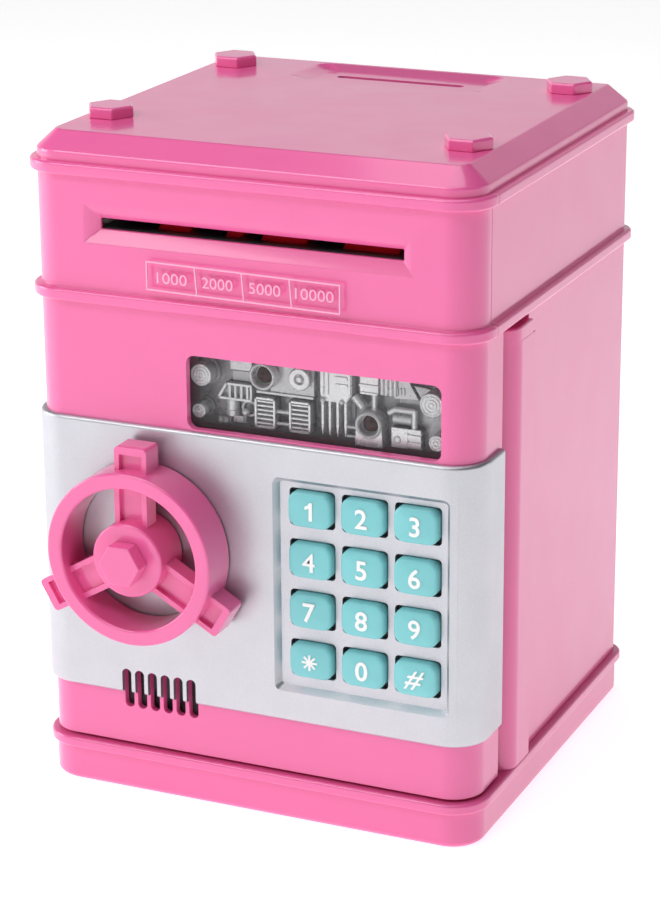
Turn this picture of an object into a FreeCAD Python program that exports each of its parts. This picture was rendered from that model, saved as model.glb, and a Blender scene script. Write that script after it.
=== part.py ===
"""Toy safe coin bank with an electronic keypad, a handwheel lock and a motor-fed note slot.

Units are millimetres.  X runs to the right of the front face, Y runs back and Z runs up.  The
origin is the centre of the flat underside.  Every node is one piece of the real assembly.
"""
import FreeCAD, Part
import math
import os

Vector = FreeCAD.Vector

# ---- driving dimensions: the case ----
WIDTH = 132.0
DEPTH = 125.4
WALL = 2.2
FRONT_RADIUS = 9.3
BACK_RADIUS = 5.0
HALF_WIDTH = WIDTH / 2
FRONT = -DEPTH / 2
BACK = DEPTH / 2
INSIDE_X = HALF_WIDTH - WALL
RIB_PROUD = 2.0
RIB_ROUND = 0.9
BASE_PROUD = 0.5
BASE_FLOOR = 2.2
BASE_BAND_TOP = 10.6
BASE_TOP = 13.8
DECK_UNDER = 11.4
MID_RIB_LOW = 144.7
MID_RIB_HIGH = 148.1
SHELF_TOP = 147.2
TOP_RIB_LOW = 180.1
TOP_RIB_HIGH = 183.5
LID_BAND_TOP = 186.0
LID_TOP = 191.0
LID_CHAMFER = 5.5
FASCIA_BACK = FRONT + 10.6
SIDE_WALL_FRONT = FRONT + 21.0
SLIP = 0.08                      # gap round a screw or a glued pin

# ---- lid ----
BOLT_X = 53.2
BOLT_FRONT_Y = FRONT + 26.6
BOLT_BACK_Y = 43.5
CAP_HEIGHT = 3.2
CAP_CORNER_RADIUS = 7.0
TRAY_FLOOR = LID_TOP - 1.6
COIN_SLOT_HALF_LENGTH = 20.1
COIN_SLOT_WIDTH = 3.0
COIN_SLOT_Y = 44.8
CHUTE_WALL = 1.5
CHUTE_HALF_WIDTH = 22.5
CHUTE_HALF_DEPTH = 4.0

# ---- door ----
DOOR_LOW = 14.8
DOOR_HIGH = 144.3
DOOR_DEPTH = 20.0
HINGE_X = 60.5
HINGE_Y = FRONT + 15.5
HINGE_PIN_RADIUS = 2.0
BUSH_RADIUS = 3.0
RUNNING_GAP = 0.05
PANEL_LOW = 30.6
PANEL_HIGH = 111.5
PANEL_PROUD = 1.5
PANEL_BACK = FRONT + 18.6
WINDOW = (-18.2, 56.4, 112.0, 133.0)
WINDOW_RADIUS = 2.5
RECESS = (7.8, 59.8, 39.5, 102.1)
RECESS_SLOPE = 1.5
RECESS_FLOOR = FRONT + 0.5
RECESS_BACK = FRONT + 2.0
KEY_FIRST_X = 18.85
KEY_FIRST_Z = 93.7
KEY_PITCH_X = 15.5
KEY_PITCH_Z = 14.7
KEY_HOLE = (13.5, 10.8)
KEY_CAP = (12.8, 10.1)
KEY_FLANGE = (14.6, 12.2)
KEY_FRONT = FRONT - 2.3
KEY_NAMES = ("1", "2", "3", "4", "5", "6", "7", "8", "9", "star", "0", "hash")
VENT_FIRST_X = -38.6
VENT_PITCH = 4.07
VENT_COUNT = 6
VENT_WIDTH = 2.9
VENT_LOW = 25.7
VENT_HIGH = 38.0
RING_ONE = (2.2, 127.8)
RING_TWO = (33.4, 117.8)
RELIEF_BACK = FRONT + 11.2
RELIEF_PLATE = FRONT + 10.0
RELIEF_FRONT = FRONT + 4.6
BOARD_BACK = FRONT + 7.0
DOOR_SCREWS = ((-57.0, 23.0), (-57.0, 136.0), (40.0, 22.0), (40.0, 138.0))

# ---- handwheel and lock ----
WHEEL_X = -30.4
WHEEL_Z = 76.5
WHEEL_FRONT = FRONT - 14.5
HUB_FRONT = WHEEL_FRONT - 0.2
HUB_NUT_RADIUS = 6.4
HUB_NUT_FRONT = FRONT - 19.5
WHEEL_BACK = FRONT - 2.0
RING_OUTER = 25.1
RING_INNER = 20.6
HUB_RADIUS = 10.65
SPOKE_ANGLES = (90, 210, 330)
SPOKE_WIDTH = 10.0
LUG_WIDTH = 9.9
LUG_REACH = 31.6
SPINDLE_RADIUS = 3.0
SPINDLE_BACK = FRONT + 27.6
TONGUE_FRONT = FRONT + 24.0
TONGUE_REACH = 30.0
CAM_RADIUS = 12.0
CAM_NOTCH_DEPTH = 3.0
CAM_NOTCH_WIDTH = 4.8
CAM_FRONT = FRONT + 11.2
PLUNGER_Y = CAM_FRONT + 2.0
PLUNGER_RADIUS = 2.0
PLUNGER_TIP_X = WHEEL_X + CAM_RADIUS + 0.4
COLLAR_X = -13.2
SOLENOID_FRONT_X = -9.0

# ---- note feed ----
FEED_Y = FRONT + 14.0
FEED_Z = 160.4
FEED_SHAFT_RADIUS = 1.5
TYRE_RADIUS = 5.8
TYRE_SPANS = ((-31.0, -21.0), (-10.5, -5.5), (0.0, 13.5), (24.0, 40.5))
PINCH_Z = 170.4
PINCH_RADIUS = 3.9
PINCH_SHAFT_RADIUS = 1.25
GUIDE_TOP = 165.2
NOTE_SLOT_LOW = 165.0
NOTE_SLOT_HIGH = 168.0
GEAR_MODULE = 0.8
FEED_TEETH = 20
IDLER_TEETH = 18
PINION_TEETH = 12
GEAR_TRAIN_SLOPE = math.radians(-10)
GEAR_X = (-48.6, -45.8)
BRACKET_LEFT_X = -52.0
BRACKET_RIGHT_X = 50.0
BRACKET_THICK = 2.0

# ---- base ----
CELL_RADIUS = 7.1
CELL_Z = 10.0
CELL_YS = (12.4, 28.0, 43.6)
BAY_X = 31.2
BAY_Y = (2.8, 53.2)
COVER_SCREW_Y = 57.0
BASE_SCREWS = ((-58.5, -34.0), (61.5, -28.2), (-55.0, 53.0), (55.0, 53.0))
FEET = ((-50.0, -49.0), (50.0, -49.0), (-47.0, 42.0), (47.0, 42.0))
POST_FRONT = FRONT + 24.0
POST_BACK = FRONT + 39.5
POST_INNER_X = 57.0
POST_TOP = 138.9
LEAD_X = 60.0
LEAD_Y = FRONT + 28.0
LEAD_RADIUS = 1.5
LEAD_LOW_Z = 6.2
LEAD_END_Y = 20.0


# ---- shape helpers ----
def place(plane, u, v, level):
    """A point from two in-plane values and the level along the plane's normal axis."""
    if plane == "Z":
        return Vector(u, v, level)
    if plane == "Y":
        return Vector(u, level, v)
    return Vector(level, u, v)


def outline(plane, corners, radii, level):
    """A closed wire through the corners, each rounded by its own radius."""
    count = len(corners)
    stops = []
    for i in range(count):
        corner = Vector(corners[i][0], corners[i][1], 0)
        before = Vector(corners[i - 1][0], corners[i - 1][1], 0) - corner
        after = Vector(corners[(i + 1) % count][0], corners[(i + 1) % count][1], 0) - corner
        before.normalize()
        after.normalize()
        half = before.getAngle(after) / 2
        if radii[i] == 0:
            stops.append((corner, corner, corner))
            continue
        reach = radii[i] / math.tan(half)
        middle = before + after
        middle.normalize()
        bulge = corner + middle * (radii[i] / math.sin(half) - radii[i])
        stops.append((corner + before * reach, bulge, corner + after * reach))
    edges = []
    for i in range(count):
        start, bulge, end = [place(plane, p.x, p.y, level) for p in stops[i]]
        nxt = stops[(i + 1) % count][0]
        nxt = place(plane, nxt.x, nxt.y, level)
        if radii[i] != 0:
            edges.append(Part.Arc(start, bulge, end).toShape())
        edges.append(Part.LineSegment(end, nxt).toShape())
    return Part.Wire(edges)


def slab(plane, corners, radii, low, high):
    """A prism between two levels of the plane's normal axis."""
    if not isinstance(radii, (list, tuple)):
        radii = [radii] * len(corners)
    face = Part.Face(outline(plane, corners, radii, low))
    return face.extrude(place(plane, 0, 0, high - low))


def rectangle(u0, u1, v0, v1):
    return [(u0, v0), (u1, v0), (u1, v1), (u0, v1)]


def block(x0, x1, y0, y1, z0, z1):
    return Part.makeBox(x1 - x0, y1 - y0, z1 - z0, Vector(x0, y0, z0))


def rod(axis, u, v, radius, low, high):
    """A cylinder along an axis; u and v are the other two places in X, Y, Z order."""
    start = place(axis, u, v, low)
    return Part.makeCylinder(radius, high - low, start, place(axis, 0, 0, 1))


def tube(axis, u, v, outer, inner, low, high):
    return rod(axis, u, v, outer, low, high).cut(rod(axis, u, v, inner, low, high))


def fuse(shapes):
    joined = shapes[0]
    for shape in shapes[1:]:
        joined = joined.fuse(shape)
    return joined.removeSplitter()


def cut(shape, tools):
    for tool in tools:
        shape = shape.cut(tool)
    return shape


def footprint_wire(grow, level):
    """The case outline seen from above, grown outwards on every side."""
    corners = rectangle(-HALF_WIDTH - grow, HALF_WIDTH + grow, FRONT - grow, BACK + grow)
    front = max(FRONT_RADIUS + grow, 0.8)
    back = max(BACK_RADIUS + grow, 0.8)
    return outline("Z", corners, [front, front, back, back], level)


def footprint(grow, low, high):
    face = Part.Face(footprint_wire(grow, low))
    return face.extrude(Vector(0, 0, high - low))


def edges_at(shape, axis, level):
    """Edges that lie wholly in the plane where the axis has the given level."""
    low = {"X": "XMin", "Y": "YMin", "Z": "ZMin"}[axis]
    high = {"X": "XMax", "Y": "YMax", "Z": "ZMax"}[axis]
    found = []
    for edge in shape.Edges:
        box = edge.BoundBox
        if abs(getattr(box, low) - level) < 1e-4 and abs(getattr(box, high) - level) < 1e-4:
            found.append(edge)
    return found


def round_edges(shape, radius, axis, levels):
    edges = []
    for level in levels:
        edges += edges_at(shape, axis, level)
    return shape.makeFillet(radius, edges)


def rib(low, high):
    solid = round_edges(footprint(RIB_PROUD, low, high), RIB_ROUND, "Z", (low, high))
    return solid.cut(footprint(-WALL, low - 1, high + 1))


def behind(y):
    return block(-90, 90, y, 90, -1, 200)


def ahead_of(y):
    return block(-90, 90, -120, y, -1, 200)


def about_y(shape, x, z, degrees):
    """Turn a piece counter-clockwise as seen from the front."""
    turned = shape.copy()
    turned.rotate(Vector(x, 0, z), Vector(0, -1, 0), degrees)
    return turned


def wire_lead(points, bend, radius):
    """A round lead of straight runs joined by tangent arcs of one bend radius."""
    path = []
    start = points[0]
    for i in range(1, len(points) - 1):
        corner = points[i]
        back_way = points[i - 1] - corner
        on_way = points[i + 1] - corner
        back_way.normalize()
        on_way.normalize()
        half = back_way.getAngle(on_way) / 2
        reach = bend / math.tan(half)
        middle = back_way + on_way
        middle.normalize()
        bulge = corner + middle * (bend / math.sin(half) - bend)
        arc_start = corner + back_way * reach
        arc_end = corner + on_way * reach
        path.append(Part.LineSegment(start, arc_start).toShape())
        path.append(Part.Arc(arc_start, bulge, arc_end).toShape())
        start = arc_end
    path.append(Part.LineSegment(start, points[-1]).toShape())
    section = Part.Wire([Part.makeCircle(radius, points[0], points[1] - points[0])])
    return Part.Wire(path).makePipeShell([section], True, False)


def involute(angle):
    return math.tan(angle) - angle


def gear(teeth, y, z, low_x, high_x, bore, first_tooth):
    """A spur gear about the X axis with involute flanks and a little backlash."""
    pitch = GEAR_MODULE * teeth / 2
    pressure = math.radians(20)
    base = pitch * math.cos(pressure)
    root = pitch - 1.25 * GEAR_MODULE
    tip = pitch + 0.9 * GEAR_MODULE
    backlash = 0.04 / pitch

    def half_angle(radius):
        flank = math.acos(min(1.0, base / radius))
        return math.pi / (2 * teeth) + involute(pressure) - involute(flank) - backlash

    start = max(base, root)
    flank_radii = [start + (tip - start) * step / 4 for step in range(5)]
    points = []
    for tooth in range(teeth):
        middle = first_tooth + 2 * math.pi * tooth / teeth
        rising = [(root, -half_angle(start))] if root < start else []
        rising += [(radius, -half_angle(radius)) for radius in flank_radii]
        falling = [(radius, -angle) for radius, angle in reversed(rising)]
        for radius, angle in rising + falling:
            points.append((y + radius * math.cos(middle + angle), z + radius * math.sin(middle + angle)))
    solid = slab("X", points, 0, low_x, high_x)
    if bore > 0:
        solid = solid.cut(rod("X", y, z, bore, low_x, high_x))
    return solid


# ---- shared places ----
def key_centres():
    centres = []
    for i in range(len(KEY_NAMES)):
        x = KEY_FIRST_X + KEY_PITCH_X * (i % 3)
        z = KEY_FIRST_Z - KEY_PITCH_Z * (i // 3)
        centres.append((x, z))
    return centres


def centred(x, z, size):
    return rectangle(x - size[0] / 2, x + size[0] / 2, z - size[1] / 2, z + size[1] / 2)


def bolt_places():
    return [(x, y) for y in (BOLT_FRONT_Y, BOLT_BACK_Y) for x in (-BOLT_X, BOLT_X)]


def vent_cuts():
    cuts = []
    for i in range(VENT_COUNT):
        x = VENT_FIRST_X + VENT_PITCH * i
        corners = rectangle(x - VENT_WIDTH / 2, x + VENT_WIDTH / 2, VENT_LOW, VENT_HIGH)
        cuts.append(slab("Y", corners, VENT_WIDTH / 2 - 0.01, FRONT - 5, FRONT + 2.4))
    return cuts


def gear_places():
    """Centres and first-tooth angles of the feed gear, idler and pinion, in mesh."""
    direction = GEAR_TRAIN_SLOPE
    centres = [(FEED_Y, FEED_Z)]
    phases = [direction]
    chain = (FEED_TEETH, IDLER_TEETH, PINION_TEETH)
    for i in (1, 2):
        distance = GEAR_MODULE * (chain[i - 1] + chain[i]) / 2
        y = centres[-1][0] + distance * math.cos(direction)
        z = centres[-1][1] + distance * math.sin(direction)
        centres.append((y, z))
        lead = (direction - phases[-1]) % (2 * math.pi / chain[i - 1])
        gap = direction + math.pi + lead * chain[i - 1] / chain[i]
        phases.append(gap - math.pi / chain[i])
    return centres, phases


# ---- base ----
def base_tray():
    band = footprint(BASE_PROUD, 0, BASE_BAND_TOP + 1)
    band = round_edges(band, 2.0, "Z", (0,))
    edge = round_edges(footprint(RIB_PROUD, BASE_BAND_TOP, BASE_TOP), RIB_ROUND, "Z",
                       (BASE_BAND_TOP, BASE_TOP))
    body = band.fuse(edge)
    body = body.cut(footprint(-WALL, BASE_FLOOR, BASE_TOP + 1))
    bosses = [rod("Z", x, y, 4.5, BASE_FLOOR - 1, DECK_UNDER) for x, y in BASE_SCREWS]
    keep = footprint(-1, 0, BASE_TOP)
    body = fuse([body] + [boss.common(keep) for boss in bosses])
    tools = [block(-BAY_X - 1.2, BAY_X + 1.2, BAY_Y[0] - 1.2, BAY_Y[1] + 1.2, -1, BASE_FLOOR + 1)]
    tools.append(block(-6.3, 6.3, BAY_Y[1], 59.8, -1, BASE_FLOOR + 1))
    for x, y in BASE_SCREWS:
        tools.append(rod("Z", x, y, 3.3, -1, 5.0))
        tools.append(rod("Z", x, y, 1.5 + SLIP, 4, DECK_UNDER + 1))
    for x, y in FEET:
        tools.append(rod("Z", x, y, 6.1, -1, 1.0))
    return cut(body, tools)


def base_deck():
    """The cash floor, with a hump over the battery bay and a boss for the lower hinge pin."""
    low, high = BAY_Y
    plate = footprint(-WALL - 0.2, DECK_UNDER, BASE_TOP)
    hump = block(-BAY_X - 1.8, BAY_X + 1.8, low - 1.8, high + 1.8, BASE_FLOOR, 20.0)
    pin_boss = rod("Z", HINGE_X - 0.6, HINGE_Y, 3.6, 6.0, DECK_UNDER)
    cover_boss = rod("Z", 0, COVER_SCREW_Y, 3.2, BASE_FLOOR, DECK_UNDER)
    body = fuse([plate, hump, pin_boss, cover_boss])
    tools = [block(-BAY_X, BAY_X, low, high, 0, 18.4)]
    tools += [rod("Z", x, y, 1.5 + SLIP, 5, 22) for x, y in BASE_SCREWS]
    tools.append(rod("Z", HINGE_X, HINGE_Y, HINGE_PIN_RADIUS + 0.02, 7.0, 22))
    tools.append(rod("Z", 0, COVER_SCREW_Y, 1.25 + SLIP, 0, 9.5))
    tools.append(rod("Z", LEAD_X, LEAD_Y, LEAD_RADIUS + 0.3, 5, 22))
    tools.append(rod("X", LEAD_END_Y, LEAD_LOW_Z, LEAD_RADIUS + 0.3, BAY_X - 1, BAY_X + 3))
    return cut(body, tools)


def battery_cover():
    low, high = BAY_Y
    plate = block(-BAY_X - 0.9, BAY_X + 0.9, low - 0.9, high + 0.9, 0.2, BASE_FLOOR)
    tab = block(-6, 6, high, 59.5, 0.2, BASE_FLOOR)
    body = fuse([plate, tab])
    grips = [block(-10, 10, low + 4 + 3 * i, low + 5 + 3 * i, 0, 0.8) for i in range(4)]
    screw_hole = rod("Z", 0, COVER_SCREW_Y, 1.25 + SLIP, 0, 3)
    head_hole = rod("Z", 0, COVER_SCREW_Y, 2.5, 0, 1.0)
    return cut(body, grips + [screw_hole, head_hole])


def battery_cells():
    cells = []
    for i, y in enumerate(CELL_YS):
        way = 1 if i % 2 == 0 else -1
        jacket = rod("X", y, CELL_Z, CELL_RADIUS, -24.8, 24.8)
        jacket = round_edges(jacket, 0.5, "X", (-24.8, 24.8))
        ends = sorted((way * 24.8, way * 25.8))
        nub = rod("X", y, CELL_Z, 2.7, ends[0], ends[1])
        cells.append(jacket.fuse(nub))
    return Part.makeCompound(cells)


def battery_contacts():
    """Spring contacts at the flat ends of the cells and plates behind them."""
    pieces = []
    for side in (-1, 1):
        outer = sorted((side * 31.0, side * 30.4))
        plate = block(outer[0], outer[1], 5, 51, 4, 16)
        for i, y in enumerate(CELL_YS):
            way = 1 if i % 2 == 0 else -1
            cell_end = 25.8 if side == way else 24.8
            start = Vector(side * 30.4, y, CELL_Z)
            bump = Part.makeCone(4.0, 2.2, 30.4 - cell_end, start, Vector(-side, 0, 0))
            plate = plate.fuse(bump)
        pieces.append(plate)
    return Part.makeCompound(pieces)


def rubber_feet():
    return Part.makeCompound([rod("Z", x, y, 6.0, 0, 1.0) for x, y in FEET])


def screw(x, y, head_low, head_radius, shank_radius, length, up):
    """A pan-head screw standing on Z; up is True when the shank points upwards."""
    head = rod("Z", x, y, head_radius, head_low, head_low + 1.8)
    if up:
        shank = rod("Z", x, y, shank_radius, head_low + 1.8, head_low + 1.8 + length)
        slot_low = head_low
    else:
        shank = rod("Z", x, y, shank_radius, head_low - length, head_low)
        slot_low = head_low + 1.0
    body = head.fuse(shank)
    arm = head_radius * 0.6
    slots = [block(x - arm, x + arm, y - 0.4, y + 0.4, slot_low, slot_low + 0.8),
             block(x - 0.4, x + 0.4, y - arm, y + arm, slot_low, slot_low + 0.8)]
    return cut(body, slots)


def case_screws():
    screws = [screw(x, y, 184.5, 3.0, 1.5, 9.5, False) for x, y in bolt_places()]
    screws += [screw(x, y, 3.2, 3.0, 1.5, 13.5, True) for x, y in BASE_SCREWS]
    cover = rod("Z", 0, COVER_SCREW_Y, 2.4, 0.2, 1.0)
    cover = cover.fuse(rod("Z", 0, COVER_SCREW_Y, 1.25, 1.0, 9.0))
    cover = cover.cut(block(-1.6, 1.6, COVER_SCREW_Y - 0.35, COVER_SCREW_Y + 0.35, 0, 0.7))
    return Part.makeCompound(screws + [cover])


# ---- case ----
def body_shell():
    walls = footprint(0, BASE_TOP, TOP_RIB_HIGH).cut(footprint(-WALL, BASE_TOP - 1, TOP_RIB_HIGH + 1))
    pieces = [walls, rib(MID_RIB_LOW, MID_RIB_HIGH), rib(TOP_RIB_LOW, TOP_RIB_HIGH)]
    body = fuse([piece.common(behind(FRONT + 10.7)) for piece in pieces])
    doorway = block(-90, 90, -120, SIDE_WALL_FRONT, 0, MID_RIB_LOW)
    post_gap = block(0, 90, -120, POST_BACK, 0, MID_RIB_LOW)
    body = cut(body, [doorway, post_gap])
    extras = []
    for x, y in bolt_places():
        side = 1 if x > 0 else -1
        reach = sorted((x, side * (INSIDE_X + 1)))
        extras.append(rod("Z", x, y, 4.0, 174.0, 181.5))
        extras.append(block(reach[0], reach[1], y - 1.2, y + 1.2, 174.0, 181.5))
    for x, y in (BASE_SCREWS[0], BASE_SCREWS[2], BASE_SCREWS[3]):
        side = 1 if x > 0 else -1
        reach = sorted((x, side * (INSIDE_X + 1)))
        extras.append(rod("Z", x, y, 3.5, BASE_TOP, 20.0))
        extras.append(block(reach[0], reach[1], y - 1.2, y + 1.2, BASE_TOP, 20.0))
    body = fuse([body] + extras)
    holes = [rod("Z", x, y, 1.5 + SLIP, 174.6, 182) for x, y in bolt_places()]
    holes += [rod("Z", x, y, 1.5 + SLIP, BASE_TOP - 1, 19.0) for x, y in BASE_SCREWS]
    return cut(body, holes)


def upper_fascia():
    walls = footprint(0, MID_RIB_LOW, TOP_RIB_HIGH).cut(footprint(-WALL, MID_RIB_LOW - 1, TOP_RIB_HIGH + 1))
    pad = block(-52, 52, FRONT + 1, FRONT + 4, 158.0, 175.0)
    pieces = [walls, rib(MID_RIB_LOW, MID_RIB_HIGH), rib(TOP_RIB_LOW, TOP_RIB_HIGH), pad]
    body = fuse(pieces).common(ahead_of(FASCIA_BACK))
    mouth = outline("Y", rectangle(-48.2, 48.2, 161.5, 172.1), [0.0] * 4, FRONT)
    throat = outline("Y", rectangle(-44.5, 44.5, NOTE_SLOT_LOW, NOTE_SLOT_HIGH), [0.0] * 4, FRONT + 3)
    bevel = Part.makeLoft([mouth, throat], True, True)
    slot = block(-44.5, 44.5, FRONT + 2.9, FRONT + 5, NOTE_SLOT_LOW, NOTE_SLOT_HIGH)
    return cut(body, [bevel, slot])


def lid_shell(grow, low, band_top, top, inset):
    band = footprint(grow, low, band_top)
    crown = Part.makeLoft([footprint_wire(grow, band_top), footprint_wire(grow - inset, top)], True, True)
    return band.fuse(crown).removeSplitter()


def top_lid():
    outer = lid_shell(0, TOP_RIB_HIGH, LID_BAND_TOP, LID_TOP, LID_CHAMFER)
    outer = round_edges(outer, 1.2, "Z", (LID_TOP, LID_BAND_TOP))
    inner = lid_shell(-WALL, TOP_RIB_HIGH - 1, 184.4, 188.8, 4.8)
    body = outer.cut(inner)
    pad = block(-33, 33, 30, 57, 186.8, 190.0)
    bosses = [rod("Z", x, y, 5.0, 181.5, 190.0) for x, y in bolt_places()]
    body = fuse([body, pad] + bosses)
    brim = outline("Z", rectangle(-30.9, 30.9, 30.4, 55.4), [5.0] * 4, LID_TOP + 0.01)
    floor = outline("Z", rectangle(-25.4, 25.4, 35.6, 52.8), [3.0] * 4, TRAY_FLOOR)
    tray = Part.makeLoft([floor, brim], True, True)
    slot_outline = rectangle(-COIN_SLOT_HALF_LENGTH, COIN_SLOT_HALF_LENGTH,
                             COIN_SLOT_Y - COIN_SLOT_WIDTH / 2, COIN_SLOT_Y + COIN_SLOT_WIDTH / 2)
    slot = slab("Z", slot_outline, COIN_SLOT_WIDTH * 0.49, 180, 195)
    tools = [tray, slot]
    tools += [rod("Z", x, y, 3.4, 184.5, 195) for x, y in bolt_places()]
    tools += [rod("Z", x, y, 1.5 + SLIP, 180, 186) for x, y in bolt_places()]
    return cut(body, tools)


def lid_bolt_caps():
    caps = []
    for x, y in bolt_places():
        corners = []
        for i in range(6):
            angle = math.radians(60 * i)
            corners.append((x + CAP_CORNER_RADIUS * math.cos(angle), y + CAP_CORNER_RADIUS * math.sin(angle)))
        head = slab("Z", corners, 0.8, LID_TOP, LID_TOP + CAP_HEIGHT)
        head = round_edges(head, 0.8, "Z", (LID_TOP + CAP_HEIGHT,))
        caps.append(head.fuse(rod("Z", x, y, 3.3, 187.0, LID_TOP)))
    return Part.makeCompound(caps)


def inner_shelf():
    plate = footprint(-WALL - 0.15, MID_RIB_LOW, SHELF_TOP)
    boss = rod("Z", HINGE_X - 1.6, HINGE_Y, 4.6, SHELF_TOP - 1, 150.0)
    body = fuse([plate, boss])
    note_drop = block(-46, 46, -10, 29, 140, 150)
    chute_hole = block(-CHUTE_HALF_WIDTH - 0.2, CHUTE_HALF_WIDTH + 0.2, COIN_SLOT_Y - CHUTE_HALF_DEPTH - 0.2,
                       COIN_SLOT_Y + CHUTE_HALF_DEPTH + 0.2, 140, 150)
    bush_hole = rod("Z", HINGE_X, HINGE_Y, BUSH_RADIUS + RUNNING_GAP, 140, 155)
    lead_hole = rod("Z", LEAD_X, LEAD_Y, LEAD_RADIUS + 0.3, 140, 155)
    return cut(body, [note_drop, chute_hole, bush_hole, lead_hole])


def hinge_post():
    """A channel that covers the wiring beside the door, with its cap plate."""
    corners = rectangle(POST_INNER_X, HALF_WIDTH + RIB_PROUD, POST_FRONT, POST_BACK)
    channel = slab("Z", corners, [0, 6, 0, 0], BASE_TOP, POST_TOP)
    hollow = slab("Z", rectangle(POST_INNER_X - 1, HALF_WIDTH, POST_FRONT + 2, POST_BACK - 2),
                  [0, 4, 0, 0], BASE_TOP - 1, POST_TOP + 1)
    x, y = BASE_SCREWS[1]
    boss = rod("Z", x, y, 3.3, BASE_TOP, 20.0)
    channel = fuse([channel.cut(hollow), boss])
    channel = channel.cut(rod("Z", x, y, 1.5 + SLIP, BASE_TOP - 1, 19.0))
    cap_corners = rectangle(POST_INNER_X, HALF_WIDTH + RIB_PROUD, FRONT + 23.4, FRONT + 38)
    cap = slab("Z", cap_corners, [0, 6, 0, 0], POST_TOP, 142.8)
    cap = round_edges(cap, 0.6, "Z", (142.8,))
    cap = cap.cut(rod("Z", LEAD_X, LEAD_Y, LEAD_RADIUS + 0.3, POST_TOP - 1, 145))
    return Part.makeCompound([channel, cap])


def strike_plate():
    corners = [(-INSIDE_X, 66.0), (-57.0, 68.5), (-57.0, 85.5), (-INSIDE_X, 88.0)]
    return slab("Y", corners, [0, 1, 1, 0], FRONT + 21.2, FRONT + 23.6)


def coin_chute():
    outer = block(-CHUTE_HALF_WIDTH, CHUTE_HALF_WIDTH, COIN_SLOT_Y - CHUTE_HALF_DEPTH,
                  COIN_SLOT_Y + CHUTE_HALF_DEPTH, 141.0, 186.8)
    inner = block(-CHUTE_HALF_WIDTH + CHUTE_WALL, CHUTE_HALF_WIDTH - CHUTE_WALL,
                  COIN_SLOT_Y - CHUTE_HALF_DEPTH + CHUTE_WALL, COIN_SLOT_Y + CHUTE_HALF_DEPTH - CHUTE_WALL,
                  140, 188)
    return outer.cut(inner)


# ---- note feed ----
def note_guide():
    plate = block(-45.2, 45.2, FRONT + 4.1, FRONT + 52, GUIDE_TOP - 1.3, GUIDE_TOP)
    lip = slab("X", [(FRONT + 51, 161.0), (FRONT + 54, 159.5), (FRONT + 54, 160.8), (FRONT + 52, GUIDE_TOP)],
               0, -45.2, 45.2)
    pieces = [plate, lip.fuse(block(-45.2, 45.2, FRONT + 50, FRONT + 52, 161.0, GUIDE_TOP))]
    pieces.append(block(45.2, BRACKET_RIGHT_X, FRONT + 26, FRONT + 46, GUIDE_TOP - 1.3, GUIDE_TOP))
    pieces.append(block(44.9, 46.2, FRONT + 6, FRONT + 52, GUIDE_TOP - 1.3, 169.0))
    body = fuse(pieces)
    windows = [block(a - 0.7, b + 0.7, FEED_Y - TYRE_RADIUS - 0.8, FEED_Y + TYRE_RADIUS + 0.8, 160, 170)
               for a, b in TYRE_SPANS]
    return cut(body, windows)


def roller_brackets():
    """Two side plates that carry the shafts, with feet, idler stub and motor saddle."""
    centres, phases = gear_places()
    outline_points = [(FRONT + 6, SHELF_TOP), (FRONT + 52, SHELF_TOP), (FRONT + 52, 162.5),
                      (FRONT + 24, 173.5), (FRONT + 6, 173.5)]
    left = slab("X", outline_points, [0, 0, 3, 3, 3], BRACKET_LEFT_X, BRACKET_LEFT_X + BRACKET_THICK)
    right = slab("X", outline_points, [0, 0, 3, 3, 3], BRACKET_RIGHT_X, BRACKET_RIGHT_X + BRACKET_THICK)
    left_foot = block(-57, -51, FRONT + 8, FRONT + 50, SHELF_TOP, SHELF_TOP + 1.8)
    right_foot = block(45, 51, FRONT + 8, FRONT + 50, SHELF_TOP, SHELF_TOP + 1.8)
    stub = rod("X", centres[1][0], centres[1][1], 1.5, -51, -45.6)
    left = fuse([left, left_foot, stub])
    right = fuse([right, right_foot])
    bores = [rod("X", FEED_Y, FEED_Z, FEED_SHAFT_RADIUS + RUNNING_GAP, -60, 60),
             rod("X", FEED_Y, PINCH_Z, PINCH_SHAFT_RADIUS + RUNNING_GAP, -60, 60)]
    left = cut(left, bores + [rod("X", centres[2][0], centres[2][1], 1.3, -60, -50)])
    right = cut(right, bores + [rod("X", LEAD_Y, 157.0, 1.3, 40, 60)])
    saddle = block(-42, -22, centres[2][0] - 9, centres[2][0] + 9, SHELF_TOP, centres[2][1] - 7.5)
    return Part.makeCompound([left, right, saddle])


def motor():
    centres, phases = gear_places()
    y, z = centres[2]
    can = slab("X", rectangle(y - 10, y + 10, z - 7.5, z + 7.5), [7.3] * 4, -44.8, -19.8)
    boss = rod("X", y, z, 3.0, -45.6, -44.8)
    body = can.fuse(boss)
    return body.cut(rod("X", y, z, 1.0 + RUNNING_GAP, -46, -30))


def motor_pinion():
    centres, phases = gear_places()
    y, z = centres[2]
    teeth = gear(PINION_TEETH, y, z, GEAR_X[0], GEAR_X[1], 0, phases[2])
    return teeth.fuse(rod("X", y, z, 1.0, -49.6, -31.0))


def idler_gear():
    centres, phases = gear_places()
    y, z = centres[1]
    return gear(IDLER_TEETH, y, z, GEAR_X[0], GEAR_X[1], FEED_SHAFT_RADIUS + RUNNING_GAP, phases[1])


def feed_gear():
    centres, phases = gear_places()
    return gear(FEED_TEETH, FEED_Y, FEED_Z, GEAR_X[0], GEAR_X[1], FEED_SHAFT_RADIUS + 0.01, phases[0])


def feed_shaft():
    return rod("X", FEED_Y, FEED_Z, FEED_SHAFT_RADIUS, -53, 53)


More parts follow.
